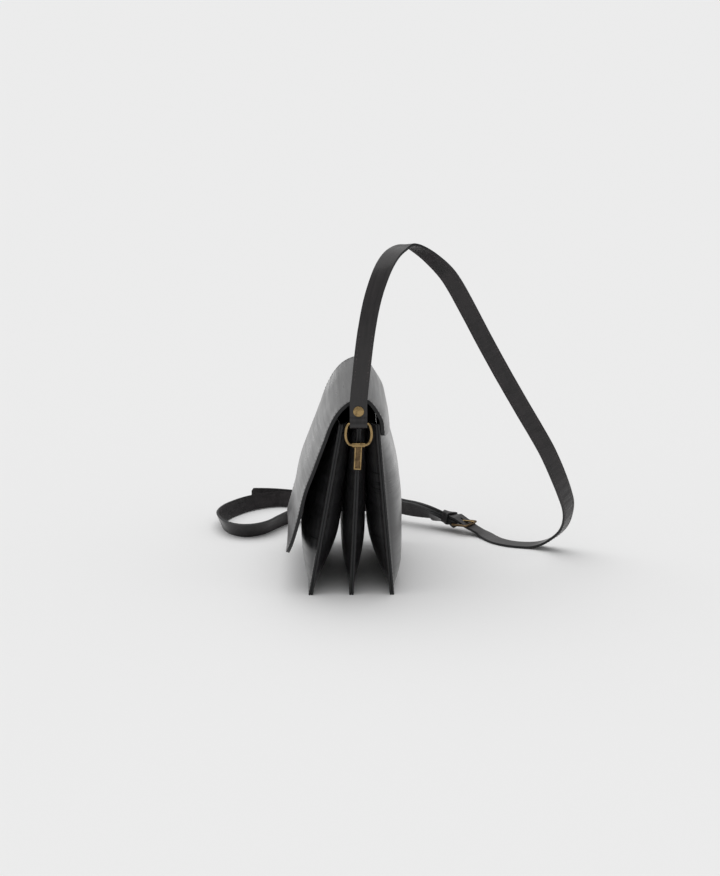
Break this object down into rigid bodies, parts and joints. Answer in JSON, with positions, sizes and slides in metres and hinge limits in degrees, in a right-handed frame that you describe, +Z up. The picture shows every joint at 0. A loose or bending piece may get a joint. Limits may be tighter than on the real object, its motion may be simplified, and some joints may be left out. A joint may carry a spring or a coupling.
{
  "type": "crossbody bag",
  "caption": "Small flap crossbody bag with side-by-side flat pockets and a long buckled strap that arches up and loops beside it.",
  "frame": {"origin": "middle of the footprint of the whole object, strap included, on the surface it stands on", "axes": "+X along the bag towards its near end, +Y towards the bag's back, away from the flap's hem, +Z up"},
  "size_m": [0.323, 0.3522, 0.3246],
  "materials": {
    "leather": "semi-gloss",
    "strap_leather": "satin",
    "antique_brass": "aged, lightly polished"
  },
  "bodies": {
    "root": {"front_pocket_front_panel": "leather", "front_pocket_back_panel": "leather", "middle_pocket_front_panel": "leather", "middle_pocket_back_panel": "leather", "back_pocket_front_panel": "leather", "back_pocket_back_panel": "leather", "flap": "leather", "hole_strap": "strap_leather", "buckle_strap": "strap_leather", "keeper_loop": "strap_leather", "near_ring": "antique_brass", "near_clip": "antique_brass", "near_rivet": "antique_brass", "far_ring": "antique_brass", "far_clip": "antique_brass", "far_rivet": "antique_brass", "buckle_frame": "antique_brass", "buckle_prong": "antique_brass"}
  },
  "joints": []
}
